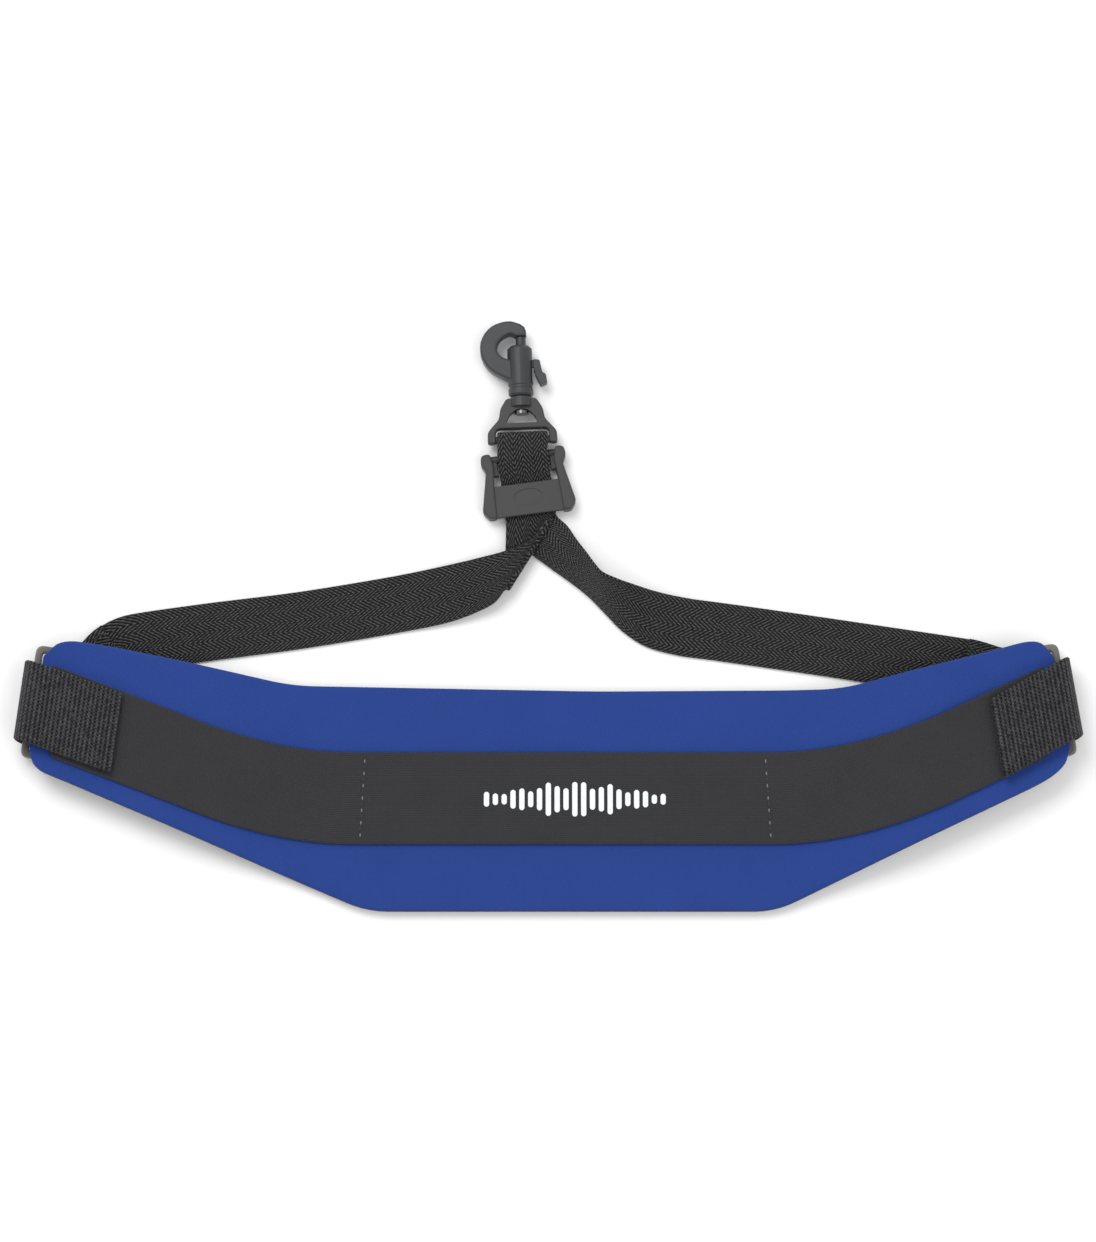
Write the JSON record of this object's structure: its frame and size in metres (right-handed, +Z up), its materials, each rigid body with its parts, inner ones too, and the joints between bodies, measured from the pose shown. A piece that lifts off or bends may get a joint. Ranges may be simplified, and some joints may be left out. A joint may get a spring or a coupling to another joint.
{
  "type": "saxophone neck strap",
  "caption": "Padded crescent neck strap with a stretch band, webbing loop, adjusting slider and a swivelling bolt snap hook.",
  "frame": {"origin": "centre of the outline on the table that the strap lies on, face up", "axes": "+X along the pad to the right as the printed face is read, +Y from the pad towards the hook, +Z up off the table, out of the printed face"},
  "size_m": [0.4386, 0.2472, 0.0223],
  "materials": {
    "black_foam": "black neoprene foam, cut edge",
    "blue_jersey": "royal blue laminated jersey",
    "black_jersey": "black laminated jersey",
    "black_elastic": "smooth black elastic",
    "black_webbing": "coarse black webbing",
    "herringbone_webbing": "black herringbone webbing",
    "grey_plastic": "grey moulded plastic",
    "dark_plastic": "dark grey moulded plastic",
    "steel": "plated steel rivet",
    "black_thread": "black bonded thread"
  },
  "bodies": {
    "pad": {"pad_core_left": "black_foam", "pad_core_middle": "black_foam", "pad_core_right": "black_foam", "pad_front_jersey": "blue_jersey", "pad_back_jersey_left": "black_jersey", "pad_back_jersey_middle": "black_jersey", "pad_back_jersey_right": "black_jersey", "stretch_band": "black_elastic", "band_seam_left": "black_thread", "band_seam_right": "black_thread", "left_tab": "black_webbing", "right_tab": "black_webbing", "left_tab_stitching": "black_thread", "right_tab_stitching": "black_thread"},
    "ring_left": {"left_ring": "grey_plastic"},
    "ring_right": {"right_ring": "grey_plastic"},
    "loop": {"strap_webbing": "herringbone_webbing", "left_strand_stitching": "black_thread", "right_strand_stitching": "black_thread"},
    "slider": {"slider_frame": "dark_plastic"},
    "swivel": {"swivel_frame": "dark_plastic", "swivel_stud": "steel"},
    "hook": {"hook_body": "dark_plastic", "bolt_spring": "steel"},
    "bolt": {"bolt": "dark_plastic"}
  },
  "joints": [
    {"name": "left_ring_hinge", "type": "hinge", "parent": "pad", "child": "ring_left", "pos_m": [-0.21248, -0.03738, 0.006], "axis": [0.1222, 0.9925, 0], "range_deg": [0, 35], "deforming": ["strap_webbing"]},
    {"name": "right_ring_hinge", "type": "hinge", "parent": "pad", "child": "ring_right", "pos_m": [0.21254, -0.03647, 0.006], "axis": [0.1535, -0.9881, 0], "range_deg": [0, 35], "deforming": ["strap_webbing"]},
    {"name": "loop_swing", "type": "hinge", "parent": "pad", "child": "loop", "pos_m": [0, -0.014, 0.001], "axis": [1, 0, 0], "range_deg": [0, 60], "deforming": ["strap_webbing"]},
    {"name": "slider_slide", "type": "slide", "parent": "loop", "child": "slider", "axis": [0.1305, -0.9914, 0], "range_m": [0, 0.008], "deforming": ["strap_webbing"]},
    {"name": "swivel_tilt", "type": "hinge", "parent": "loop", "child": "swivel", "pos_m": [-0.0106, 0.0732, 0.0052], "axis": [0.9994, 0.0349, 0], "range_deg": [0, 70], "deforming": ["strap_webbing"]},
    {"name": "hook_swivel", "type": "hinge", "parent": "swivel", "child": "hook", "pos_m": [-0.01124, 0.09159, 0.0052], "axis": [-0.0349, 0.9994, 0], "continuous": true},
    {"name": "bolt_slide", "type": "slide", "parent": "hook", "child": "bolt", "axis": [0.0349, -0.9994, 0], "range_m": [0, 0.0046], "stiffness_N_per_m": 150, "deforming": ["bolt_spring"]}
  ]
}
